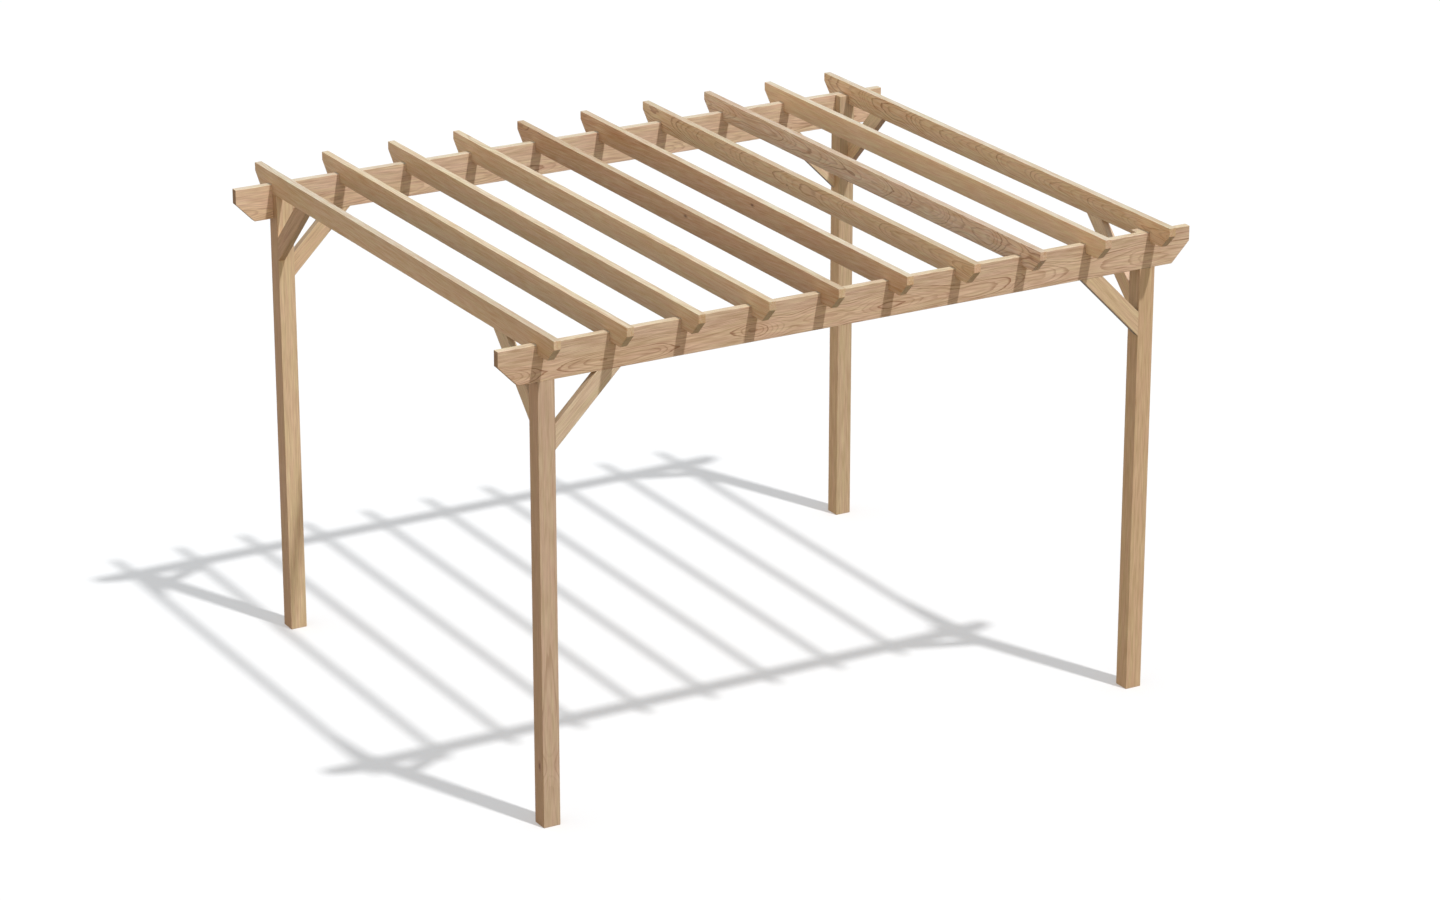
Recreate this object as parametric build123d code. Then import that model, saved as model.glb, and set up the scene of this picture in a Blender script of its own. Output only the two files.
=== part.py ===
"""A freestanding timber pergola: four posts, two beams, ten notched rafters and eight corner braces.

Lengths are in millimetres. The origin is on the ground at the middle of the four posts.
X runs along the beams, Y along the rafters from front to back, and Z is up.
"""
import os

from build123d import *

# Whole frame, measured over the outer faces of the posts
frame_width = 3470.0
frame_depth = 2956.0
beam_top = 2450.0

# Posts
post_width = 90.0

# Beams, with the lower corner of each end cut off
beam_thickness = 40.0
beam_depth = 182.0
beam_overhang = 204.0
beam_end_height = 80.0
beam_end_run = 102.0

# Rafters, notched over both beams and undercut at the ends
rafter_count = 10
rafter_thickness = 38.0
rafter_depth = 114.0
rafter_rise = 67.0
rafter_overhang = 167.0
rafter_end_height = 46.0
rafter_end_run = 68.0

# Braces, set at 45 degrees; the reach is measured along the post and along the timber above
brace_thickness = 38.0
brace_width = 90.0
brace_reach = 350.0
long_brace_reach = 462.0

# Planed edges, play in the notches, and how far a cutting block runs past the timber
arris_radius = 2.5
notch_play = 0.5
cut_margin = 20.0

# Places that follow from the sizes above
left_face = -frame_width / 2
front_face = -frame_depth / 2
post_inner_x = left_face + post_width
post_inner_y = front_face + post_width
beam_bottom = beam_top - beam_depth
rafter_top = beam_top + rafter_rise
rafter_bottom = rafter_top - rafter_depth
beam_length = frame_width + 2 * beam_overhang
rafter_length = frame_depth + 2 * rafter_overhang
rafter_spacing = (frame_width - rafter_thickness) / (rafter_count - 1)
brace_inset = brace_width * 2 ** 0.5


def bar(plane, breadth, depth, length):
    """A planed bar along the plane's normal, centred on the origin, with eased long edges."""
    return extrude(plane * RectangleRounded(breadth, depth, arris_radius), amount=length / 2, both=True)


def block(low, high):
    """A cutting block between two opposite corners."""
    size = [high[i] - low[i] for i in range(3)]
    middle = [(high[i] + low[i]) / 2 for i in range(3)]
    return Pos(*middle) * Box(*size)


def front_left_post():
    """A post cut away at the top for the beam and the outer rafter, which leaves a tongue inside."""
    centre_x = left_face + post_width / 2
    centre_y = front_face + post_width / 2
    shaft = Pos(centre_x, centre_y, beam_top / 2) * bar(Plane.XY, post_width, post_width, beam_top)
    beam_seat = block(
        (left_face - cut_margin, front_face - cut_margin, beam_bottom),
        (post_inner_x + cut_margin, front_face + beam_thickness, beam_top + cut_margin),
    )
    rafter_seat = block(
        (left_face - cut_margin, front_face - cut_margin, rafter_bottom),
        (left_face + rafter_thickness + notch_play, post_inner_y + cut_margin, beam_top + cut_margin),
    )
    return shaft - beam_seat - rafter_seat


def front_beam():
    """A plain beam on edge with both lower end corners cut off at a slant."""
    middle_y = front_face + beam_thickness / 2
    beam = Pos(0, middle_y, beam_top - beam_depth / 2) * bar(Plane.YZ, beam_thickness, beam_depth, beam_length)
    outline = Polyline(
        (-beam_length / 2, beam_top),
        (beam_length / 2, beam_top),
        (beam_length / 2, beam_top - beam_end_height),
        (beam_length / 2 - beam_end_run, beam_bottom),
        (-beam_length / 2 + beam_end_run, beam_bottom),
        (-beam_length / 2, beam_top - beam_end_height),
        close=True,
    )
    keep = extrude(Plane.XZ * make_face(outline), amount=frame_depth, both=True)
    return beam & keep


def rafter(middle_x):
    """A rafter notched over both beams, its ends undercut."""
    middle_z = rafter_top - rafter_depth / 2
    timber = Pos(middle_x, 0, middle_z) * bar(Plane.XZ, rafter_thickness, rafter_depth, rafter_length)
    outline = Polyline(
        (-rafter_length / 2, rafter_top),
        (rafter_length / 2, rafter_top),
        (rafter_length / 2, rafter_top - rafter_end_height),
        (rafter_length / 2 - rafter_end_run, rafter_bottom),
        (-rafter_length / 2 + rafter_end_run, rafter_bottom),
        (-rafter_length / 2, rafter_top - rafter_end_height),
        close=True,
    )
    timber = timber & extrude(Plane.YZ * make_face(outline), amount=frame_width, both=True)
    front_notch = block(
        (middle_x - rafter_thickness, front_face - notch_play, rafter_bottom - cut_margin),
        (middle_x + rafter_thickness, front_face + beam_thickness + notch_play, beam_top),
    )
    return timber - front_notch - mirror(front_notch, about=Plane.XZ)


def brace(reach):
    """A brace in the XZ plane with its corner at the origin: plumb cut at the post, level cut on top."""
    outline = Polyline(
        (0, -reach),
        (0, -reach + brace_inset),
        (reach - brace_inset, 0),
        (reach, 0),
        close=True,
    )
    timber = extrude(Plane.XZ * make_face(outline), amount=brace_thickness / 2, both=True)
    slant = Vector(1, 0, 1).normalized()
    long_edges = [edge for edge in timber.edges() if abs(edge.tangent_at(0).dot(slant)) > 0.999]
    return fillet(long_edges, arris_radius)


def front_left_beam_brace():
    """The brace below the beam, level with the beam's outer face."""
    return Pos(post_inner_x, front_face + brace_thickness / 2, beam_bottom) * brace(brace_reach)


def front_left_rafter_brace(reach):
    """The brace below the outer rafter, level with the rafter's outer face."""
    return Pos(left_face + brace_thickness / 2, post_inner_y, rafter_bottom) * Rot(0, 0, 90) * brace(reach)


def to_right(shape):
    """The same piece at the right-hand corner."""
    return mirror(shape, about=Plane.YZ)


def to_back(shape):
    """The same piece at the back."""
    return mirror(shape, about=Plane.XZ)


def pergola():
    """All the timbers by name."""
    post = front_left_post()
    beam = front_beam()
    beam_brace = front_left_beam_brace()
    rafter_brace = front_left_rafter_brace(brace_reach)
    long_rafter_brace = front_left_rafter_brace(long_brace_reach)
    pieces = {
        "front_left_post": post,
        "front_right_post": to_right(post),
        "back_left_post": to_back(post),
        "back_right_post": to_back(to_right(post)),
        "front_beam": beam,
        "back_beam": to_back(beam),
        "front_left_beam_brace": beam_brace,
        "front_right_beam_brace": to_right(beam_brace),
        "back_left_beam_brace": to_back(beam_brace),
        "back_right_beam_brace": to_back(to_right(beam_brace)),
        "front_left_rafter_brace": rafter_brace,
        "front_right_rafter_brace": to_right(long_rafter_brace),
        "back_left_rafter_brace": to_back(rafter_brace),
        "back_right_rafter_brace": to_back(to_right(rafter_brace)),
    }
    for number in range(rafter_count):
        middle_x = left_face + rafter_thickness / 2 + number * rafter_spacing
        pieces[f"rafter_{number + 1:02d}"] = rafter(middle_x)
    return pieces


os.makedirs("parts", exist_ok=True)
for name, piece in pergola().items():
    export_step(piece, f"parts/{name}.step")
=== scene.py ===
"""Planed softwood finish for a freestanding pergola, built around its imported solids.

Lengths are in metres, in the frame of the solids: X along the beams, Y along the rafters, Z up.
"""
import math
from typing import NamedTuple

import bpy
import numpy as np
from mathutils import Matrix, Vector


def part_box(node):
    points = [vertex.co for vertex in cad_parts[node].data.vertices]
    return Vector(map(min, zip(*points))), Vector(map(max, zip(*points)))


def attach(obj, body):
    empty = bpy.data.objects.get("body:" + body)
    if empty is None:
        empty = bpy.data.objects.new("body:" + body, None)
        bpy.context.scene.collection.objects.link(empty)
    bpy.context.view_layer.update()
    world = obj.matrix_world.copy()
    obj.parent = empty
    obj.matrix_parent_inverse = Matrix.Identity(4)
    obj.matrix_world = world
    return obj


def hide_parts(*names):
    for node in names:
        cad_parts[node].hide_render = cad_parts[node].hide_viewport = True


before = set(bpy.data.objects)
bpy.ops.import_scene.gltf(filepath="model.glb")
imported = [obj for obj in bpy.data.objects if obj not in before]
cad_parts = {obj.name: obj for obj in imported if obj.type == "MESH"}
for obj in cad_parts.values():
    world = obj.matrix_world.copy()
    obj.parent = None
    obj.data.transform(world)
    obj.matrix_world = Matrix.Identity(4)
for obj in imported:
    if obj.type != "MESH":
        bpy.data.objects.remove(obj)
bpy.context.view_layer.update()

bl_info = {
    "name": "Timber Pergola",
    "version": (1, 0, 0),
    "blender": (4, 5, 0),
    "location": "3D View > Sidebar > Pergola",
    "description": "Builds the planed timbers of a freestanding pergola and the stage it stands on",
    "category": "Object",
}

CORNERS = ("front_left", "front_right", "back_left", "back_right")
BEAMS = ("front_beam", "back_beam")
RAFTERS = tuple(sorted(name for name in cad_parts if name.startswith("rafter_")))
BODY = "root"
UP = np.array([0.0, 0.0, 1.0])


class Timber(NamedTuple):
    """How one timber looks and how it is cut from its log.

    wide, narrow and ends are the tint of those faces and how light it is. How light is the wood's own tone,
    and on the faces noted at the timbers also painted light and shade, set against how the light falls there.
    figure is how lively the grain is at the timber's start and end. heart is where the log's middle lies
    across and through the timber, and lean is how far it moves each way for each metre along the timber.
    """

    wide: tuple
    narrow: tuple
    figure: tuple
    heart: tuple
    lean: tuple = (0.02, 0.01)
    ends: tuple = ("straw", 0.90)


class Knot(NamedTuple):
    """A knot's place along its timber from the middle, its place across or through it, and its radius."""

    along: float
    way: str
    beside: float
    radius: float


TIMBERS = {
    # Its narrow faces, left and right, are darker: its own tone, and painted shade on the left face
    "front_left_post": Timber(
        wide=("rose", 0.89), narrow=("russet", 0.70), ends=("rose", 0.85),
        figure=(0.22, 0.22), heart=(0.000, 0.160), lean=(0.004, 0.006)),
    "front_right_post": Timber(
        wide=("honey", 0.99), narrow=("honey", 0.91),
        figure=(0.35, 0.35), heart=(0.120, 0.120), lean=(0.005, 0.004)),
    # Its narrow faces, left and right, are darker: its own tone, and painted shade on the left face
    "back_left_post": Timber(
        wide=("straw", 1.18), narrow=("russet", 0.73), ends=("straw", 1.00),
        figure=(0.35, 0.35), heart=(-0.120, 0.120), lean=(0.006, 0.005)),
    "back_right_post": Timber(
        wide=("straw", 0.99), narrow=("honey", 0.96), ends=("honey", 0.90),
        figure=(0.40, 0.40), heart=(0.120, 0.120), lean=(-0.008, 0.006)),
    "front_beam": Timber(
        wide=("rose", 1.01), narrow=("straw", 1.00), ends=("russet", 0.50),
        figure=(1.00, 1.00), heart=(-0.035, 0.095), lean=(0.004, 0.012)),
    # Its wide faces are painted lighter: painted light that lifts the shade on its inner front face
    "back_beam": Timber(
        wide=("rose", 1.22), narrow=("cream", 0.98), ends=("russet", 0.47),
        figure=(0.70, 0.70), heart=(-0.050, 0.105), lean=(-0.004, 0.020)),
    # The rafters' wide faces grow lighter towards rafter_10: painted light, over their own tones. Their end
    # tints are lighter too: painted light that lifts the undercuts, which lie in shade
    "rafter_01": Timber(
        wide=("honey", 0.88), narrow=("cream", 0.87), ends=("cream", 1.25),
        figure=(0.50, 0.50), heart=(0.130, 0.050), lean=(0.045, 0.004)),
    "rafter_02": Timber(
        wide=("honey", 0.96), narrow=("straw", 0.94), ends=("straw", 1.05),
        figure=(0.45, 0.45), heart=(-0.200, 0.050), lean=(0.010, 0.004)),
    "rafter_03": Timber(
        wide=("honey", 0.93), narrow=("straw", 0.93), ends=("honey", 0.95),
        figure=(0.45, 0.45), heart=(-0.210, 0.035), lean=(0.012, 0.003)),
    "rafter_04": Timber(
        wide=("honey", 1.02), narrow=("straw", 0.92), ends=("straw", 1.00),
        figure=(0.45, 0.45), heart=(-0.200, 0.040), lean=(0.011, -0.004)),
    "rafter_05": Timber(
        wide=("russet", 0.91), narrow=("straw", 0.83), ends=("straw", 1.10),
        figure=(0.55, 1.00), heart=(0.130, 0.060), lean=(-0.048, 0.004)),
    "rafter_06": Timber(
        wide=("russet", 0.97), narrow=("cream", 0.95), ends=("honey", 1.10),
        figure=(0.55, 1.00), heart=(0.135, 0.065), lean=(-0.050, 0.003)),
    "rafter_07": Timber(
        wide=("honey", 1.04), narrow=("straw", 0.83), ends=("rose", 1.20),
        figure=(0.50, 0.75), heart=(0.020, 0.130), lean=(0.004, 0.036)),
    "rafter_08": Timber(
        wide=("rose", 1.05), narrow=("rose", 0.82), ends=("rose", 1.05),
        figure=(0.75, 1.00), heart=(0.005, 0.130), lean=(-0.003, -0.034)),
    "rafter_09": Timber(
        wide=("honey", 1.18), narrow=("cream", 0.92), ends=("rose", 1.05),
        figure=(0.35, 0.35), heart=(0.210, 0.050), lean=(-0.010, 0.003)),
    "rafter_10": Timber(
        wide=("honey", 1.10), narrow=("cream", 0.92), ends=("straw", 1.10),
        figure=(0.55, 0.75), heart=(0.015, 0.135), lean=(0.004, 0.045)),
    # Its narrow faces are painted dark: painted shade on the upper face, under the beam
    "front_left_beam_brace": Timber(
        wide=("cream", 1.09), narrow=("honey", 0.68),
        figure=(0.40, 0.40), heart=(0.160, 0.040)),
    "front_left_rafter_brace": Timber(
        wide=("straw", 0.85), narrow=("straw", 1.00),
        figure=(0.40, 0.40), heart=(0.160, 0.050)),
    # Its narrow faces are painted dark: painted shade on the underside
    "front_right_beam_brace": Timber(
        wide=("straw", 1.10), narrow=("russet", 0.33),
        figure=(0.50, 0.50), heart=(-0.160, 0.060)),
    # Its wide faces are painted lighter, painted light that lifts the shade they lie in, and its narrow faces
    # redder against the blue sky light that falls on them
    "front_right_rafter_brace": Timber(
        wide=("straw", 1.34), narrow=("rose", 1.10),
        figure=(0.45, 0.45), heart=(0.160, 0.050)),
    # Its narrow faces are painted dark: painted shade on the upper face, under the beam
    "back_left_beam_brace": Timber(
        wide=("straw", 1.28), narrow=("honey", 0.66),
        figure=(0.40, 0.40), heart=(0.160, 0.040)),
    "back_left_rafter_brace": Timber(
        wide=("russet", 0.75), narrow=("honey", 1.00), ends=("russet", 0.90),
        figure=(0.60, 0.60), heart=(0.130, 0.050)),
    # Its narrow faces are painted dark, painted shade on the underside, and its wide faces lighter, painted
    # light that lifts their shade
    "back_right_beam_brace": Timber(
        wide=("cream", 1.37), narrow=("russet", 0.36),
        figure=(0.40, 0.40), heart=(0.160, 0.040)),
    # Its wide faces are painted lighter, painted light that lifts the shade they lie in, and its narrow faces
    # redder against the blue sky light that falls on them
    "back_right_rafter_brace": Timber(
        wide=("straw", 1.36), narrow=("russet", 0.85),
        figure=(0.45, 0.45), heart=(0.160, 0.050)),
}

# A number for each timber that sets its grain apart from the others
SEEDS = {node: float(number) for number, node in enumerate(TIMBERS, 1)}

KNOTS = {
    "front_left_post": Knot(-0.912, "through", -0.008, 0.0080),
    "rafter_05": Knot(-0.172, "across", 0.020, 0.0065),
    "rafter_06": Knot(-0.180, "across", 0.020, 0.0060),
    "rafter_07": Knot(0.120, "across", -0.012, 0.0030),
}

# Stands for a knot on the timbers that have none: it lies far outside them
NO_KNOT = Knot(9.0, "across", 9.0, 0.001)

# How the meshes are closed and shaded, and how far their ends draw in as a share of the arris radius
MERGE_DIGITS = 7
SHARP_ANGLE = math.radians(35)
END_EASE_SHARE = 0.8

# How a face's tint, and its mark of worn edges and painted light, follow the way that it turns
LEAST_TURN = 1e-6
TINT_POWER = 3
PAINTED_LIGHT_AND_WEAR_SLOPE = 1.3
END_TURN = 0.3
LONG_EDGE_WEAR_AND_HIGHLIGHT = 0.4

# Bends of the grain to a metre
POST_BENDS = 1.0
BEAM_BENDS = 1.8
RAFTER_BENDS = 2.6
BRACE_BENDS = 2.0

# Noise in the wood, in waves to a metre along, across and through the timber, and how fine it goes
FIBRE_WAVES = (9.0, 320.0, 320.0)
STREAK_WAVES = (8.0, 120.0, 120.0)
CLOUD_WAVES = (1.3, 7.0, 7.0)
BLUSH_WAVES = (0.8, 12.0, 12.0)
HUE_WAVES = (5.0, 45.0, 45.0)
WOBBLE_WAVES = (4.0, 80.0, 80.0)
SWIRL_WAVES = 9.0
SWIRL_BEND_SHARE = 0.8
FINE_DETAIL = 2.0
SMOOTH_DETAIL = 1.0

# Waves to a metre of the log's radius, and from one seed to the next, in the run of good and poor years
SEASON_WAVES = (45.0, 1.7, 0.0)

# Steps that keep the noise of one timber, or of one pattern, apart from another
SEED_STEP = (11.3, 3.7, 5.9)
BLUSH_STEP = (3.1, 7.7, 1.9)
HUE_STEP = (8.3, 1.1, 4.7)

# How far the heart and the rings stray: the first two in metres, the others in rings
DRIFT_REACH = 0.105
SWIRL_REACH = 0.016
SEASON_RINGS = 4.0
WOBBLE_RINGS = 0.6

# Parts of a ring over which its late wood comes in and ends, and the strength of the faintest lines
LATE_START = (0.56, 0.90)
LATE_END = (0.94, 1.0)
FAINT_YEAR = 0.30
FAINT_FIGURE = 0.30

# A knot's shape: its squeeze along the grain, how its lift falls off, and the spans of its core and halo
KNOT_SQUEEZE = 0.45
KNOT_FALL = -0.06
KNOT_LIFT = 2.5
KNOT_CORE = (0.7, 1.0)
KNOT_HALO = (0.9, 2.4)
CORE_SHARE = 0.85
HALO_SHARE = 0.45

# Radius in the log over which the heart wood ends, how far the blush moves it, and the patches of hue
HEART_EDGE = (0.05, 0.13)
BLUSH_REACH = 0.06
HUE_RANGE = 0.22
GREENER = (0.988, 1.014, 0.965, 1.0)
ROSIER = (1.018, 0.980, 1.015, 1.0)

# How much each pattern lightens or darkens the wood
STREAK_LIGHT = 0.48
STREAK_FIGURE_LIGHT = 0.60
FIBRE_LIGHT = 0.22
CLOUD_LIGHT = 0.06
SEASON_LIGHT = 0.10
SAWN_LIGHT = -0.04
# Lightens slanted cuts as painted light that lifts their shade, and long edges as worn wood with a painted
# highlight
WEAR_AND_PAINTED_LIGHT = 0.20

# A face counts as sawn across the grain while its normal turns this far to the timber's length
SAWN_TURN = (0.3, 0.8)

# Roughness, height and gloss of the surface
ROUGHNESS = 0.58
FIBRE_ROUGHNESS = 0.14
SAWN_ROUGHNESS = 0.14
LATE_ROUGHNESS = -0.06
LATE_HEIGHT = 0.4
FIBRE_HEIGHT = 0.6
BUMP_STRENGTH = 0.25
BUMP_DEPTH = 0.0006
SPECULAR_LEVEL = 0.35

# The stage
FLOOR_REACH = 80.0
SENSOR_WIDTH_MM = 36.0
CAMERA_RANGE = 500.0
WHITE = (1.0, 1.0, 1.0, 1.0)


class TimberShape(bpy.types.PropertyGroup):
    """Sizes of the timbers' cut ends and planed edges."""

    arris_radius: bpy.props.FloatProperty(
        name="Arris radius", description="Rounding of the planed long edges", default=0.0025, unit="LENGTH")
    arris_steps: bpy.props.IntProperty(
        name="Arris steps", description="Faces across each rounded edge", default=4, min=1)
    beam_end_height: bpy.props.FloatProperty(
        name="Beam end height", description="Upright part of a beam's end", default=0.080, unit="LENGTH")
    beam_end_run: bpy.props.FloatProperty(
        name="Beam end run", description="Length of the slanted cut below a beam's end",
        default=0.102, unit="LENGTH")
    rafter_end_height: bpy.props.FloatProperty(
        name="Rafter end height", description="Upright part of a rafter's end", default=0.046, unit="LENGTH")
    rafter_end_run: bpy.props.FloatProperty(
        name="Rafter end run", description="Length of the undercut below a rafter's end",
        default=0.068, unit="LENGTH")
    notch_play: bpy.props.FloatProperty(
        name="Notch play", description="Room on each side of a beam in a rafter's notch",
        default=0.0005, unit="LENGTH")
    brace_width: bpy.props.FloatProperty(
        name="Brace width", description="Depth of a brace across its length", default=0.090, unit="LENGTH")


class TimberFinish(bpy.types.PropertyGroup):
    """Colours and figure of the planed wood."""

    cream: bpy.props.FloatVectorProperty(
        name="Cream", description="Early wood of the palest faces",
        subtype="COLOR", size=3, default=(0.66, 0.525, 0.37))
    straw: bpy.props.FloatVectorProperty(
        name="Straw", description="Early wood of the yellow timbers",
        subtype="COLOR", size=3, default=(0.66, 0.50, 0.325))
    honey: bpy.props.FloatVectorProperty(
        name="Honey", description="Early wood of the plain brown timbers",
        subtype="COLOR", size=3, default=(0.66, 0.47, 0.29))
    rose: bpy.props.FloatVectorProperty(
        name="Rose", description="Early wood of the pinkish timbers",
        subtype="COLOR", size=3, default=(0.68, 0.50, 0.35))
    russet: bpy.props.FloatVectorProperty(
        name="Russet", description="Early wood of the redder heartwood timbers",
        subtype="COLOR", size=3, default=(0.62, 0.40, 0.235))
    late_wood: bpy.props.FloatVectorProperty(
        name="Late wood", description="Late wood colour as a share of the early wood",
        subtype="COLOR", size=3, default=(0.46, 0.30, 0.23))
    knot_wood: bpy.props.FloatVectorProperty(
        name="Knots", description="Colour of the knots",
        subtype="COLOR", size=3, default=(0.16, 0.075, 0.035))
    heart_wood: bpy.props.FloatVectorProperty(
        name="Heart wood", description="Colour near the log's heart as a share of the outer wood",
        subtype="COLOR", size=3, default=(0.90, 0.84, 0.78))
    ring_width: bpy.props.FloatProperty(
        name="Ring width", description="Mean width of a growth ring", default=0.0032, unit="LENGTH")
    fibre_swing: bpy.props.FloatVectorProperty(
        name="Fibre swing", description="How far red, green and blue follow the light and dark fibres",
        size=3, default=(0.78, 1.05, 1.25))
    rafter_swing: bpy.props.FloatVectorProperty(
        name="Rafter fibre swing", description="The same on the rafters, whose dark fibres are redder",
        size=3, default=(0.55, 1.10, 1.60))


class StageSettings(bpy.types.PropertyGroup):
    """Light, floor and camera."""

    sun_strength: bpy.props.FloatProperty(
        name="Sun", description="Strength of the sun lamp", default=2.64)
    sun_width: bpy.props.FloatProperty(
        name="Sun width", description="Angle that the sun fills", default=math.radians(2.0), subtype="ANGLE")
    sun_direction: bpy.props.FloatVectorProperty(
        name="Sun direction", description="Way that the sunlight travels",
        size=3, subtype="XYZ", default=(-0.1777, 0.4539, -1.0))
    sky_low: bpy.props.FloatVectorProperty(
        name="Low sky", description="Light from the horizon",
        subtype="COLOR", size=3, default=(1.15, 0.80, 0.44))
    sky_high: bpy.props.FloatVectorProperty(
        name="High sky", description="Light from straight above",
        subtype="COLOR", size=3, default=(0.15, 0.48, 0.78))
    sky_tilt: bpy.props.FloatVectorProperty(
        name="Sky tilt", description="How the sky's strength grows towards each axis",
        size=3, subtype="XYZ", default=(-0.30, 0.12, 0.0))
    floor_colour: bpy.props.FloatVectorProperty(
        name="Floor", description="Colour that the floor throws back",
        subtype="COLOR", size=3, default=(0.14, 0.105, 0.065))
    floor_shown: bpy.props.FloatVectorProperty(
        name="Shown floor", description="Colour of the floor to the eye, which takes the shadow",
        subtype="COLOR", size=3, default=(0.585, 0.585, 0.585))
    floor_glow: bpy.props.FloatVectorProperty(
        name="Floor glow", description="Light added to the floor to the eye, which pales the shadow",
        subtype="COLOR", size=3, default=(0.298, 0.250, 0.216))
    eye: bpy.props.FloatVectorProperty(
        name="Camera", description="Place of the camera",
        size=3, subtype="XYZ", default=(-10.9023, -19.1026, 9.2784))
    pan: bpy.props.FloatProperty(
        name="Pan", description="Camera's turn from the Y axis",
        default=math.radians(29.914), subtype="ANGLE")
    dip: bpy.props.FloatProperty(
        name="Dip", description="Camera's view below the horizon",
        default=math.radians(20.304), subtype="ANGLE")
    focal: bpy.props.FloatProperty(
        name="Focal length", description="In millimetres on a 36 mm sensor", default=113.878)


def section_rings(low, high, radius, steps, breaks):
    """Rounded rectangles, one for each station.

    low and high hold each station's limits in the two section directions. Every corner is a quarter circle
    about a point set in by the radius, and each side also has points at the break values, held to that side.
    The points run anticlockwise from the side of the high first limit.
    """
    turn = np.linspace(0.0, np.pi / 2, steps + 1)
    inner_low, inner_high = low + radius[:, None], high - radius[:, None]
    sides = []
    for quarter, (first, second) in enumerate(((1, 1), (0, 1), (0, 0), (1, 0))):
        centre_a = np.where(first, inner_high[:, :1], inner_low[:, :1])
        centre_b = np.where(second, inner_high[:, 1:], inner_low[:, 1:])
        angle = turn + quarter * np.pi / 2
        arc_a = centre_a + radius[:, None] * np.cos(angle)
        arc_b = centre_b + radius[:, None] * np.sin(angle)
        along = 0 if quarter % 2 == 0 else 1
        marks = np.sort(np.array(breaks[along], float))
        marks = marks[::-1] if quarter in (0, 1) else marks
        span = np.clip(marks[None, :], inner_low[:, along:along + 1], inner_high[:, along:along + 1])
        edge = (high if (first if along else second) else low)[:, 1 - along, None] * np.ones_like(span)
        run = (span, edge) if along == 0 else (edge, span)
        sides += [np.stack([arc_a, arc_b], -1), np.stack(run, -1)]
    return np.concatenate(sides, 1)


def skin(points):
    """Faces of a tube through rings of points, with a flat cap on each end.

    points has one row of points per ring. Points that fall together are merged, and faces that lose
    their area with them are dropped.
    """
    rings, count = points.shape[:2]
    grid = np.arange(rings * count).reshape(rings, count)
    beside = np.roll(grid, -1, axis=1)
    quads = np.stack([grid[:-1], beside[:-1], beside[1:], grid[1:]], -1).reshape(-1, 4)
    spots, index = np.unique(np.round(points.reshape(-1, 3), MERGE_DIGITS), axis=0, return_inverse=True)
    index = index.reshape(-1)
    quads = index[quads]
    fresh = quads != np.roll(quads, -1, axis=1)
    faces = quads[fresh.all(1)].tolist()
    thin = fresh.sum(1) == 3
    faces += quads[thin][fresh[thin]].reshape(-1, 3).tolist()
    for ring in (grid[0, ::-1], grid[-1]):
        loop = index[ring]
        faces.append(loop[loop != np.roll(loop, -1)].tolist())
    return spots, faces


def timber_axes(along):
    """Unit vectors of a straight timber: its two section directions and its length, as right-handed rows."""
    order = {"x": (1, 2, 0), "y": (2, 0, 1), "z": (0, 1, 2)}[along]
    return np.eye(3)[list(order)]


def eased_stations(stations, radius, steps):
    """Adds the rounding of both end edges to a table of stations.

    Each row is a place along the timber and its four section limits. Towards an end the rows move out with
    the sine of a quarter turn, over the arris radius, and the limits draw in with one minus its cosine, over
    a share of that radius.
    """
    turn = np.linspace(0.0, np.pi / 2, steps + 1)
    draw = END_EASE_SHARE * radius * (1 - np.cos(turn))
    back = radius * (1 - np.sin(turn))

    def end(row, sign):
        rows = np.repeat(row[None], steps + 1, axis=0)
        rows[:, 0] -= sign * back
        rows[:, 1:3] += draw[:, None]
        rows[:, 3:5] -= draw[:, None]
        return rows

    first, last = end(stations[0], -1.0), end(stations[-1], 1.0)
    rows = np.concatenate([first[::-1], stations[1:-1], last])
    rounding = np.concatenate([radius - draw[::-1], np.full(len(stations) - 2, radius), radius - draw])
    return rows, rounding


def straight_timber(along, stations, breaks, shape):
    """A planed bar along one axis: a rounded rectangle carried through the stations, its ends eased."""
    rows, rounding = eased_stations(np.array(stations, float), shape.arris_radius, shape.arris_steps)
    rings = section_rings(rows[:, 1:3], rows[:, 3:5], rounding, shape.arris_steps, breaks)
    axes = timber_axes(along)
    place = rows[:, 0][:, None, None] * axes[2]
    return skin(rings @ axes[:2] + place)


def box_of(node):
    """Lowest and highest corner of a solid, as arrays."""
    low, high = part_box(node)
    return np.array(low), np.array(high)


def post_outline(corner, shape):
    """Stations and break values of a post: its shaft, the part beside the beam, and the tongue.

    The beam takes the post's outer face away above its own bottom, and the outer rafter takes the outer side
    away above its bottom. Each station is a height with the low X, low Y, high X and high Y there.
    """
    low, high = box_of(corner + "_post")
    beam_low, beam_high = box_of(BEAMS[0] if "front" in corner else BEAMS[1])
    rafter_low, rafter_high = box_of(RAFTERS[0] if "left" in corner else RAFTERS[-1])
    shaft = np.array([low[0], low[1], high[0], high[1]])
    upper = shaft.copy()
    if "front" in corner:
        upper[1] = beam_high[1]
    else:
        upper[3] = beam_low[1]
    tongue = upper.copy()
    if "left" in corner:
        tongue[0] = rafter_high[0] + shape.notch_play
    else:
        tongue[2] = rafter_low[0] - shape.notch_play
    stations = [
        (low[2], *shaft), (beam_low[2], *shaft),
        (beam_low[2], *upper), (rafter_low[2], *upper),
        (rafter_low[2], *tongue), (high[2], *tongue),
    ]
    edge = shape.arris_radius
    breaks = ((tongue[0] + edge, tongue[2] - edge), (upper[1] + edge, upper[3] - edge))
    return stations, breaks


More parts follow.
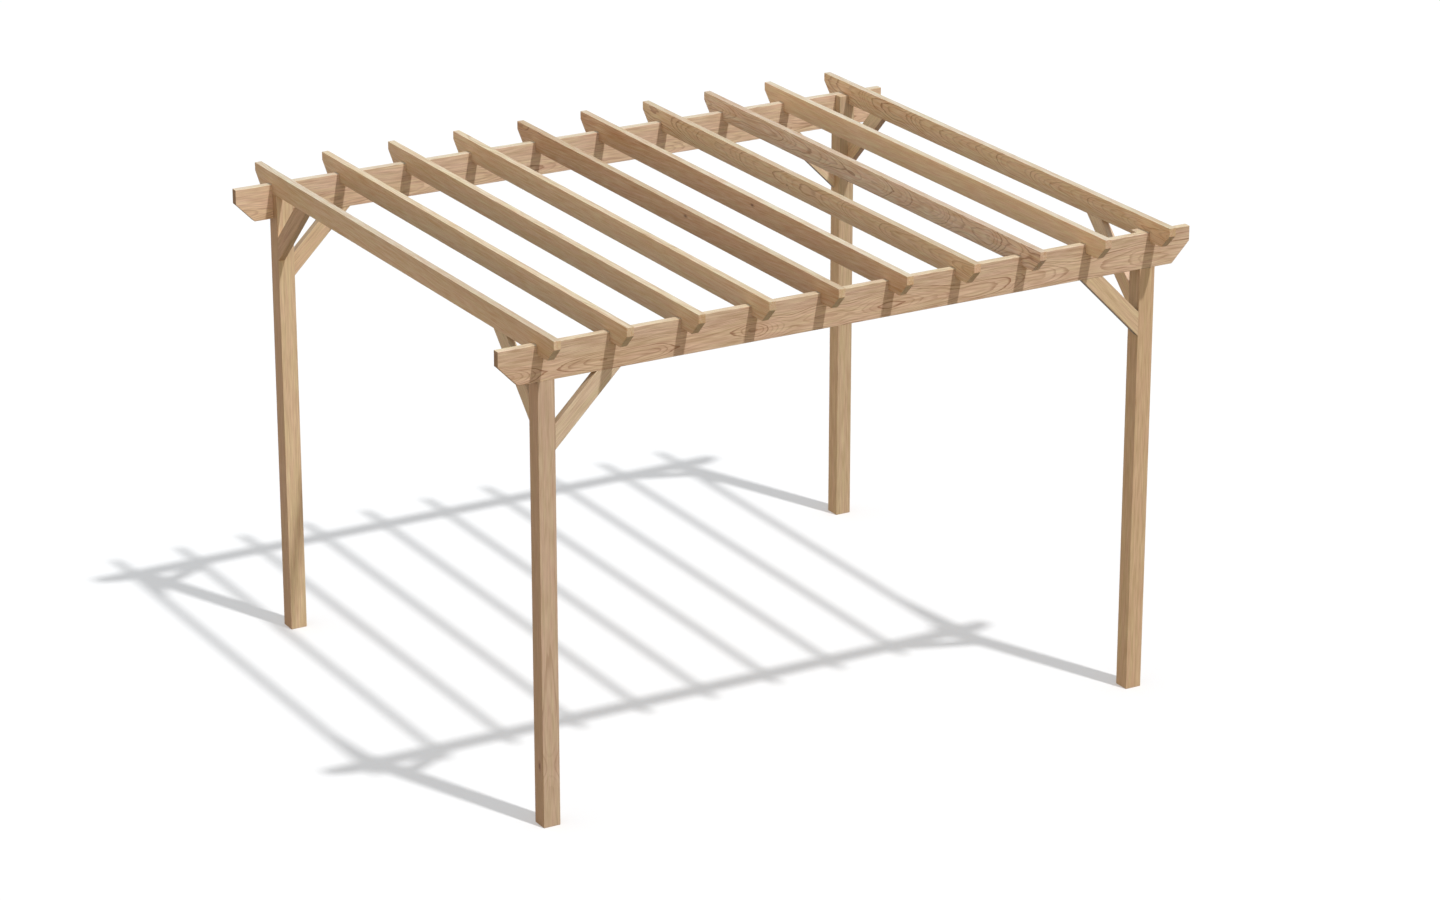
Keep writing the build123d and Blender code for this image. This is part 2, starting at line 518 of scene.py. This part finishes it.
def beam_outline(node, shape):
    """Stations and break values of a beam: the bottom rises at a slant towards both ends.

    Each station is a place along X with the low Y, low Z, high Y and high Z there.
    """
    low, high = box_of(node)
    raised = high[2] - shape.beam_end_height
    places = [
        (low[0], raised), (low[0] + shape.beam_end_run, low[2]),
        (high[0] - shape.beam_end_run, low[2]), (high[0], raised),
    ]
    stations = [(place, low[1], bottom, high[1], high[2]) for place, bottom in places]
    return stations, ((), ())


def rafter_outline(node, shape):
    """Stations and break values of a rafter: undercut ends, and a notch up to the seat over each beam.

    Each station is a place along Y with the low Z, low X, high Z and high X there.
    """
    low, high = box_of(node)
    beams = [box_of(beam) for beam in BEAMS]
    seat = beams[0][1][2]
    raised = high[2] - shape.rafter_end_height
    places = [(low[1], raised), (low[1] + shape.rafter_end_run, low[2])]
    for beam_low, beam_high in beams:
        start, stop = beam_low[1] - shape.notch_play, beam_high[1] + shape.notch_play
        places += [(start, low[2]), (start, seat), (stop, seat), (stop, low[2])]
    places += [(high[1] - shape.rafter_end_run, low[2]), (high[1], raised)]
    stations = [(place, bottom, low[0], high[2], high[0]) for place, bottom in places]
    return stations, ((seat + shape.arris_radius,), ())


def brace_timber(node, along, through, shape):
    """A brace at 45 degrees: a rounded rectangle carried from the post's face to the timber above.

    A point at w across the brace meets the post at k - w * sqrt(2) below the corner, and meets the timber
    above at the same distance out, where k is the middle of the brace measured along either leg.
    """
    low, high = box_of(node)
    toward = -1.0 if (low + high)[along] > 0 else 1.0
    outward, depthwise = np.zeros(3), np.zeros(3)
    outward[along], depthwise[through] = toward, 1.0
    corner = (low + high) / 2
    corner[along] = low[along] if toward > 0 else high[along]
    corner[2] = high[2]
    half = np.array([[shape.brace_width, (high - low)[through]]]) / 2
    ring = section_rings(-half, half, np.array([shape.arris_radius]), shape.arris_steps, ((), ()))[0]
    middle = high[2] - low[2] - shape.brace_width / math.sqrt(2)
    leg = middle - ring[:, :1] * math.sqrt(2)
    side = ring[:, 1:] * depthwise
    lower = corner - leg * UP + side
    upper = corner + leg * outward + side
    if np.dot(np.cross(outward, depthwise), UP) > 0:
        lower, upper = upper, lower
    points, faces = skin(np.stack([lower, upper]))
    slant = (outward + UP) / math.sqrt(2)
    return points, faces, np.array([np.cross(depthwise, slant), depthwise, slant])


def store(mesh, name, domain, values):
    """Keeps a number or a vector for each point or face of a mesh as a named attribute."""
    kind, field = ("FLOAT_VECTOR", "vector") if values.ndim == 2 else ("FLOAT", "value")
    attribute = mesh.attributes.new(name, kind, domain)
    attribute.data.foreach_set(field, np.ravel(values).astype(np.float32))


def store_face_looks(mesh, timber, order, finish):
    """Gives each face its tint, and its mark of worn edges and painted light.

    A face's normal has a share along, across and through the timber. The tint is the mean of the tints of the
    ends, the narrow faces and the wide faces, each by the third power of that share; on some timbers these
    tints also hold painted light and shade. The mark is 0 where one share rules and 1 where two are equal, as
    in the middle of a slanted cut, and less on the long edges. On the slanted cuts, which lie mostly in
    shade, it is painted light; on the long edges it is worn wood with a painted highlight.
    """
    normals = np.empty(3 * len(mesh.polygons), np.float32)
    mesh.polygons.foreach_get("normal", normals)
    facing = np.abs(normals.reshape(-1, 3) @ order.T) + LEAST_TURN
    sides = (timber.ends, timber.narrow, timber.wide)
    colours = np.array([light * np.array(getattr(finish, tint)) for tint, light in sides])
    share = facing ** TINT_POWER
    store(mesh, "tint", "FACE", share @ colours / share.sum(1, keepdims=True))
    ranked = np.sort(facing, axis=1)
    wear_and_painted_light = np.clip(1 - PAINTED_LIGHT_AND_WEAR_SLOPE * (1 - ranked[:, 1] / ranked[:, 2]), 0.0, 1.0)
    store(mesh, "wear_and_painted_light", "FACE", wear_and_painted_light * np.where(facing[:, 0] > END_TURN, 1.0, LONG_EDGE_WEAR_AND_HIGHLIGHT))


def store_grain(mesh, node, points, length, order):
    """Gives each point its place in the timber and what the grain there depends on.

    timber is the place along, across and through the timber from its middle, along is the direction of its
    length, log is the heart's place and the seed, lean is the heart's lean, knot is the way from the knot and
    its radius, and figure goes evenly from its value at the start to that at the end.
    """
    timber, knot = TIMBERS[node], KNOTS.get(node, NO_KNOT)
    own = (points - (points.min(0) + points.max(0)) / 2) @ order.T
    beside = own[:, 1 if knot.way == "across" else 2] - knot.beside
    from_knot = np.stack([own[:, 0] - knot.along, beside, np.full(len(own), knot.radius)], -1)
    vectors = {
        "timber": own,
        "along": length,
        "log": (*timber.heart, SEEDS[node]),
        "lean": (*timber.lean, 0.0),
        "knot": from_knot,
    }
    for name, values in vectors.items():
        store(mesh, name, "POINT", np.broadcast_to(values, points.shape))
    ends = (own[:, 0].min(), own[:, 0].max())
    store(mesh, "figure", "POINT", np.interp(own[:, 0], ends, timber.figure))


def timber_piece(node, points, faces, axes, material, finish):
    """Makes the mesh that stands for a timber's solid, with the attributes that its wood reads."""
    mesh = bpy.data.meshes.new(node + "_timber")
    mesh.from_pydata(points.tolist(), [], faces)
    mesh.validate()
    mesh.shade_smooth()
    mesh.set_sharp_from_angle(angle=SHARP_ANGLE)
    spans = np.ptp(points @ axes[:2].T, axis=0)
    across, through = (0, 1) if spans[0] >= spans[1] else (1, 0)
    order = axes[[2, across, through]]
    store_face_looks(mesh, TIMBERS[node], order, finish)
    store_grain(mesh, node, points, axes[2], order)
    mesh.materials.append(material)
    piece = bpy.data.objects.new(node + "_timber", mesh)
    bpy.context.scene.collection.objects.link(piece)
    weighted = piece.modifiers.new("even shading", "WEIGHTED_NORMAL")
    weighted.keep_sharp = True
    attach(piece, BODY)
    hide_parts(node)
    return piece


class NodeBench:
    """Short calls that place and wire the nodes of a material or world."""

    def __init__(self, material):
        material.use_nodes = True
        self.tree = material.node_tree

    def node(self, kind, inputs=None, **settings):
        """A new node with its settings, and with values or links on its inputs."""
        node = self.tree.nodes.new("ShaderNode" + kind)
        for name, value in settings.items():
            setattr(node, name, value)
        for key, value in (inputs or {}).items():
            self.feed(node.inputs[key], value)
        return node

    def feed(self, socket, value):
        """Links another node's output to an input, or sets a constant on it."""
        if isinstance(value, bpy.types.NodeSocket):
            self.tree.links.new(value, socket)
        else:
            socket.default_value = value

    def math(self, operation, *values):
        return self.node("Math", dict(enumerate(values)), operation=operation).outputs[0]

    def total(self, *terms):
        """Sum of values, each times its share."""
        value, share = terms[0]
        result = self.math("MULTIPLY", value, share)
        for value, share in terms[1:]:
            result = self.math("ADD", result, self.math("MULTIPLY", value, share))
        return result

    def vector(self, operation, *values):
        node = self.node("VectorMath", dict(enumerate(values)), operation=operation)
        return node.outputs["Value" if operation in ("LENGTH", "DOT_PRODUCT") else "Vector"]

    def scaled(self, vector, factor):
        return self.node("VectorMath", {0: vector, "Scale": factor}, operation="SCALE").outputs["Vector"]

    def value_of(self, name):
        """A number that the mesh carries."""
        return self.node("Attribute", attribute_name=name).outputs["Fac"]

    def vector_of(self, name):
        """A vector that the mesh carries."""
        return self.node("Attribute", attribute_name=name).outputs["Vector"]

    def split(self, vector):
        return self.node("SeparateXYZ", {0: vector}).outputs

    def join(self, *values):
        return self.node("CombineXYZ", dict(enumerate(values))).outputs[0]

    def noise(self, place, stretch, detail=FINE_DETAIL):
        """Noise about 0, from -0.5 to 0.5, with its coordinates stretched by a factor each way."""
        near = self.vector("MULTIPLY", place, stretch)
        node = self.node("TexNoise", {"Vector": near, "Scale": 1.0, "Detail": detail})
        return self.math("SUBTRACT", node.outputs["Fac"], 0.5)

    def slope(self, value, low, high, start=0.0, end=1.0):
        """A smooth step from start to end while the value goes from low to high."""
        inputs = {"Value": value, "From Min": low, "From Max": high, "To Min": start, "To Max": end}
        return self.node("MapRange", inputs, interpolation_type="SMOOTHSTEP").outputs["Result"]

    def mix(self, share, first, second):
        """A colour that goes from the first to the second as the share goes from 0 to 1."""
        node = self.node("Mix", data_type="RGBA")
        for socket, value in zip((node.inputs[0], node.inputs[6], node.inputs[7]), (share, first, second)):
            self.feed(socket, value)
        return node.outputs[2]


def log_coordinates(bench):
    """The place measured from the log's heart, the same moved by the timber's seed, and the seed.

    The heart moves across and through the timber in proportion to the place along it, by its lean.
    """
    own = bench.vector_of("timber")
    heart_across, heart_through, seed = bench.split(bench.vector_of("log"))
    length = bench.split(own)[0]
    lean_across, lean_through, _ = bench.split(bench.vector_of("lean"))
    heart_across = bench.math("MULTIPLY_ADD", length, lean_across, heart_across)
    heart_through = bench.math("MULTIPLY_ADD", length, lean_through, heart_through)
    grain = bench.vector("SUBTRACT", own, bench.join(0.0, heart_across, heart_through))
    place = bench.vector("ADD", grain, bench.scaled(SEED_STEP, seed))
    return grain, place, seed


def heart_distance(bench, grain, place, figure, bends):
    """Distance from the log's heart, which wanders with so many bends to a metre, and a slow swirl on top.

    Both grow with the figure, and the wandering is smaller where the bends are closer together.
    """
    waves = bench.vector("MULTIPLY", place, (bends, 0.0, 0.0))
    drift = bench.node("TexNoise", {"Vector": waves, "Scale": 1.0}).outputs["Color"]
    drift = bench.vector("SUBTRACT", drift, (0.5, 0.5, 0.5))
    drift = bench.scaled(drift, bench.math("MULTIPLY", figure, DRIFT_REACH / bends))
    off = bench.vector("MULTIPLY", bench.vector("ADD", grain, drift), (0.0, 1.0, 1.0))
    swirl = bench.noise(place, (SWIRL_BEND_SHARE * bends, SWIRL_WAVES, SWIRL_WAVES), SMOOTH_DETAIL)
    swirl = bench.math("MULTIPLY", swirl, bench.math("MULTIPLY", figure, SWIRL_REACH))
    return bench.math("ADD", bench.vector("LENGTH", off), swirl)


def knot_marks(bench):
    """How far a knot lifts the rings near it from the heart, its dark core, and the halo round it.

    All follow the distance from the knot, squeezed along the grain, over its radius: the lift falls off as a
    bell curve, and core and halo fade out smoothly over their own spans.
    """
    beyond, beside, size = bench.split(bench.vector_of("knot"))
    gap = bench.vector("LENGTH", bench.join(bench.math("MULTIPLY", beyond, KNOT_SQUEEZE), beside, 0.0))
    ratio = bench.math("DIVIDE", gap, size)
    bell = bench.math("EXPONENT", bench.math("MULTIPLY", bench.math("MULTIPLY", ratio, ratio), KNOT_FALL))
    lift = bench.math("MULTIPLY", bench.math("MULTIPLY", bell, size), KNOT_LIFT)
    core = bench.slope(ratio, *KNOT_CORE, 1.0, 0.0)
    halo = bench.slope(ratio, *KNOT_HALO, 1.0, 0.0)
    return lift, core, halo


def growth_rings(bench, grown, place, seed, figure, ring_width):
    """The late wood lines, and the run of good and poor years.

    A point's ring number is its distance from the heart over the ring width, moved by the run of years and by
    a fine wobble. Each ring darkens smoothly to its late wood and ends sharply, and each year has its own
    strength, from the faintest up with the square of a random number.
    """
    wobble = bench.noise(place, WOBBLE_WAVES)
    seasons = bench.noise(bench.join(grown, seed, 0.0), SEASON_WAVES, SMOOTH_DETAIL)
    rings = bench.math("MULTIPLY_ADD", seasons, SEASON_RINGS, bench.math("DIVIDE", grown, ring_width))
    rings = bench.math("ADD", rings, bench.math("MULTIPLY", wobble, WOBBLE_RINGS))
    part = bench.math("FRACT", rings)
    late = bench.math("MULTIPLY", bench.slope(part, *LATE_START), bench.slope(part, *LATE_END, 1.0, 0.0))
    number = bench.math("ADD", bench.math("FLOOR", rings), seed)
    year = bench.node("TexWhiteNoise", {"W": number}, noise_dimensions="1D").outputs["Value"]
    strength = bench.math("MULTIPLY_ADD", bench.math("MULTIPLY", year, year), 1.0 - FAINT_YEAR, FAINT_YEAR)
    liveliness = bench.math("MULTIPLY_ADD", figure, 1.0 - FAINT_FIGURE, FAINT_FIGURE)
    lines = bench.math("MULTIPLY", bench.math("MULTIPLY", late, strength), liveliness)
    return lines, seasons


def sawn_share(bench):
    """1 on faces sawn across the grain and 0 on those along it, by how far the face turns to the length."""
    normal = bench.node("NewGeometry").outputs["True Normal"]
    turn = bench.math("ABSOLUTE", bench.vector("DOT_PRODUCT", normal, bench.vector_of("along")))
    return bench.slope(turn, *SAWN_TURN)


def wood_colour(bench, finish, radius, place, lines, core, halo):
    """The face's tint, deeper near the heart and greener or rosier in patches, with late wood and knots."""
    tint = bench.vector_of("tint")
    blush = bench.noise(bench.vector("ADD", place, BLUSH_STEP), BLUSH_WAVES)
    reach = bench.math("ADD", radius, bench.math("MULTIPLY", blush, BLUSH_REACH))
    outer = bench.slope(reach, *HEART_EDGE)
    wood = bench.mix(outer, bench.vector("MULTIPLY", tint, tuple(finish.heart_wood)), tint)
    patches = bench.noise(bench.vector("ADD", place, HUE_STEP), HUE_WAVES)
    hue = bench.slope(patches, -HUE_RANGE, HUE_RANGE)
    wood = bench.vector("MULTIPLY", wood, bench.mix(hue, GREENER, ROSIER))
    dark = bench.vector("MULTIPLY", tint, tuple(finish.late_wood))
    colour = bench.mix(lines, wood, dark)
    colour = bench.mix(bench.math("MULTIPLY", halo, HALO_SHARE), colour, dark)
    return bench.mix(bench.math("MULTIPLY", core, CORE_SHARE), colour, (*finish.knot_wood, 1.0))


def planed_wood(name, finish, bends, swing):
    """Softwood cut from a log: rings about the heart, bent by swirls and knots, with fibres along them.

    The grain bends so many times to a metre. Streaks, fibres, clouds, years, sawn ends, and the mark of worn
    edges and painted light, add up to a level about 0, and the colour is multiplied by 1 plus that level
    times the swing of red, green and blue.
    """
    material = bpy.data.materials.new(name)
    bench = NodeBench(material)
    figure = bench.value_of("figure")
    grain, place, seed = log_coordinates(bench)
    radius = heart_distance(bench, grain, place, figure, bends)
    lift, core, halo = knot_marks(bench)
    grown = bench.math("ADD", radius, lift)
    lines, seasons = growth_rings(bench, grown, place, seed, figure, finish.ring_width)
    fibre = bench.noise(place, FIBRE_WAVES)
    sawn = sawn_share(bench)
    level = bench.total(
        (bench.noise(place, STREAK_WAVES),
         bench.math("MULTIPLY_ADD", figure, STREAK_FIGURE_LIGHT, STREAK_LIGHT)),
        (fibre, FIBRE_LIGHT),
        (bench.noise(place, CLOUD_WAVES), CLOUD_LIGHT),
        (seasons, SEASON_LIGHT),
        (sawn, SAWN_LIGHT),
        (bench.value_of("wear_and_painted_light"), WEAR_AND_PAINTED_LIGHT))
    shade = bench.vector("MULTIPLY_ADD", bench.join(level, level, level), tuple(swing), (1.0, 1.0, 1.0))
    colour = wood_colour(bench, finish, radius, place, lines, core, halo)
    rough = bench.total((fibre, FIBRE_ROUGHNESS), (sawn, SAWN_ROUGHNESS), (lines, LATE_ROUGHNESS))
    height = bench.total((lines, LATE_HEIGHT), (fibre, FIBRE_HEIGHT))
    bump = bench.node("Bump", {"Strength": BUMP_STRENGTH, "Distance": BUMP_DEPTH, "Height": height})
    shader = bench.tree.nodes["Principled BSDF"]
    bench.feed(shader.inputs["Base Color"], bench.vector("MULTIPLY", colour, shade))
    bench.feed(shader.inputs["Roughness"], bench.math("ADD", rough, ROUGHNESS))
    bench.feed(shader.inputs["Normal"], bump.outputs["Normal"])
    bench.feed(shader.inputs["Specular IOR Level"], SPECULAR_LEVEL)
    return material


def background_share(bench):
    """1 where the background itself is looked at, straight, in a gloss or through glass, and 0 elsewhere."""
    path = bench.node("LightPath").outputs
    glossy = bench.math("MAXIMUM", path["Is Camera Ray"], path["Is Glossy Ray"])
    return bench.math("MAXIMUM", glossy, path["Is Transmission Ray"])


def seen_white(bench, stage):
    """A white background to look at, which lights the object as a sky that goes from one colour to another.

    The sky goes from its low to its high colour with the height of the direction, and its strength is 1 plus
    the direction's part along the tilt.
    """
    direction = bench.node("TexCoord").outputs["Generated"]
    rise = bench.math("MAXIMUM", bench.split(direction)[2], 0.0)
    sky = bench.mix(rise, (*stage.sky_low, 1.0), (*stage.sky_high, 1.0))
    tilt = bench.vector("DOT_PRODUCT", direction, tuple(stage.sky_tilt))
    sky = bench.scaled(sky, bench.math("ADD", tilt, 1.0))
    white = bench.mix(background_share(bench), sky, WHITE)
    bench.feed(bench.tree.nodes["Background"].inputs["Color"], white)


def floor_material(stage):
    """White where it is looked at, with the shadow kept, and a plain dull ground to the light."""
    material = bpy.data.materials.new("floor")
    bench = NodeBench(material)
    bench.tree.nodes.clear()
    plain = bench.node("BsdfDiffuse", {"Color": (*stage.floor_colour, 1.0)})
    shown = bench.node("BsdfDiffuse", {"Color": (*stage.floor_shown, 1.0)})
    glow = bench.node("Emission", {"Color": (*stage.floor_glow, 1.0)})
    both = bench.node("AddShader", {0: shown.outputs[0], 1: glow.outputs[0]})
    mixed = bench.node("MixShader", {0: background_share(bench), 1: plain.outputs[0], 2: both.outputs[0]})
    bench.node("OutputMaterial", {"Surface": mixed.outputs[0]})
    return material


def add_floor(scene, stage):
    """A square floor on the ground."""
    corners = FLOOR_REACH * np.array([(-1.0, -1.0, 0.0), (1.0, -1.0, 0.0), (1.0, 1.0, 0.0), (-1.0, 1.0, 0.0)])
    mesh = bpy.data.meshes.new("floor")
    mesh.from_pydata(corners.tolist(), [], [(0, 1, 2, 3)])
    floor = bpy.data.objects.new("floor", mesh)
    scene.collection.objects.link(floor)
    mesh.materials.append(floor_material(stage))


def add_sun(scene, stage):
    """A sun lamp turned to shine along its direction."""
    light = bpy.data.lights.new("sun", "SUN")
    light.energy = stage.sun_strength
    light.angle = stage.sun_width
    lamp = bpy.data.objects.new("sun", light)
    lamp.rotation_mode = "QUATERNION"
    lamp.rotation_quaternion = Vector(stage.sun_direction).to_track_quat("-Z", "Y")
    scene.collection.objects.link(lamp)


def add_sky(scene, stage):
    """The world that lights the pergola and shows white behind it."""
    scene.world = bpy.data.worlds.new("sky")
    seen_white(NodeBench(scene.world), stage)


def add_camera(scene, stage):
    """The camera, turned by its pan and dip."""
    lens = bpy.data.cameras.new("camera")
    lens.sensor_fit = "HORIZONTAL"
    lens.sensor_width = SENSOR_WIDTH_MM
    lens.lens = stage.focal
    lens.clip_end = CAMERA_RANGE
    camera = bpy.data.objects.new("camera", lens)
    camera.location = stage.eye
    camera.rotation_euler = (math.pi / 2 - stage.dip, 0.0, -stage.pan)
    scene.collection.objects.link(camera)
    scene.camera = camera


class PERGOLA_OT_posts(bpy.types.Operator):
    """Builds the four posts, each cut away at the top for its beam and outer rafter"""

    bl_idname = "pergola.posts"
    bl_label = "Posts"

    def execute(self, context):
        shape, finish = context.scene.timber_shape, context.scene.timber_finish
        material = planed_wood("planed_post_wood", finish, POST_BENDS, finish.fibre_swing)
        for corner in CORNERS:
            points, faces = straight_timber("z", *post_outline(corner, shape), shape)
            node = corner + "_post"
            timber_piece(node, points, faces, timber_axes("z"), material, finish)
        return {"FINISHED"}


class PERGOLA_OT_beams(bpy.types.Operator):
    """Builds the front and back beams with slanted cuts below their ends"""

    bl_idname = "pergola.beams"
    bl_label = "Beams"

    def execute(self, context):
        shape, finish = context.scene.timber_shape, context.scene.timber_finish
        material = planed_wood("planed_beam_wood", finish, BEAM_BENDS, finish.fibre_swing)
        for node in BEAMS:
            points, faces = straight_timber("x", *beam_outline(node, shape), shape)
            timber_piece(node, points, faces, timber_axes("x"), material, finish)
        return {"FINISHED"}


class PERGOLA_OT_rafters(bpy.types.Operator):
    """Builds the rafters, undercut at both ends and notched over the beams"""

    bl_idname = "pergola.rafters"
    bl_label = "Rafters"

    def execute(self, context):
        shape, finish = context.scene.timber_shape, context.scene.timber_finish
        material = planed_wood("planed_rafter_wood", finish, RAFTER_BENDS, finish.rafter_swing)
        for node in RAFTERS:
            points, faces = straight_timber("y", *rafter_outline(node, shape), shape)
            timber_piece(node, points, faces, timber_axes("y"), material, finish)
        return {"FINISHED"}


class PERGOLA_OT_braces(bpy.types.Operator):
    """Builds the slanted braces below the beams and below the outer rafters"""

    bl_idname = "pergola.braces"
    bl_label = "Braces"

    def execute(self, context):
        shape, finish = context.scene.timber_shape, context.scene.timber_finish
        material = planed_wood("planed_brace_wood", finish, BRACE_BENDS, finish.fibre_swing)
        for corner in CORNERS:
            for kind, along, through in (("beam", 0, 1), ("rafter", 1, 0)):
                node = f"{corner}_{kind}_brace"
                points, faces, axes = brace_timber(node, along, through, shape)
                timber_piece(node, points, faces, axes, material, finish)
        return {"FINISHED"}


class PERGOLA_OT_stage(bpy.types.Operator):
    """Sets the floor, the light and the camera"""

    bl_idname = "pergola.stage"
    bl_label = "Stage"

    def execute(self, context):
        scene, stage = context.scene, context.scene.stage_settings
        scene.view_settings.view_transform = "Standard"
        add_floor(scene, stage)
        add_sun(scene, stage)
        add_sky(scene, stage)
        add_camera(scene, stage)
        return {"FINISHED"}


class PERGOLA_PT_panel(bpy.types.Panel):
    """Lists the steps that build the pergola"""

    bl_idname = "PERGOLA_PT_panel"
    bl_label = "Pergola"
    bl_space_type = "VIEW_3D"
    bl_region_type = "UI"
    bl_category = "Pergola"

    def draw(self, context):
        for step in STEPS:
            self.layout.operator(step.bl_idname)
        for group in GROUPS:
            settings = getattr(context.scene, group)
            for name in type(settings).__annotations__:
                self.layout.prop(settings, name)


STEPS = (PERGOLA_OT_posts, PERGOLA_OT_beams, PERGOLA_OT_rafters, PERGOLA_OT_braces, PERGOLA_OT_stage)
GROUPS = {"timber_shape": TimberShape, "timber_finish": TimberFinish, "stage_settings": StageSettings}
CLASSES = (*GROUPS.values(), *STEPS, PERGOLA_PT_panel)


def register():
    for cls in CLASSES:
        bpy.utils.register_class(cls)
    for name, group in GROUPS.items():
        setattr(bpy.types.Scene, name, bpy.props.PointerProperty(type=group))


def unregister():
    for name in GROUPS:
        delattr(bpy.types.Scene, name)
    for cls in reversed(CLASSES):
        bpy.utils.unregister_class(cls)


def main():
    """Builds every piece in order."""
    register()
    bpy.ops.pergola.posts()
    bpy.ops.pergola.beams()
    bpy.ops.pergola.rafters()
    bpy.ops.pergola.braces()
    bpy.ops.pergola.stage()


if __name__ == "__main__":
    main()
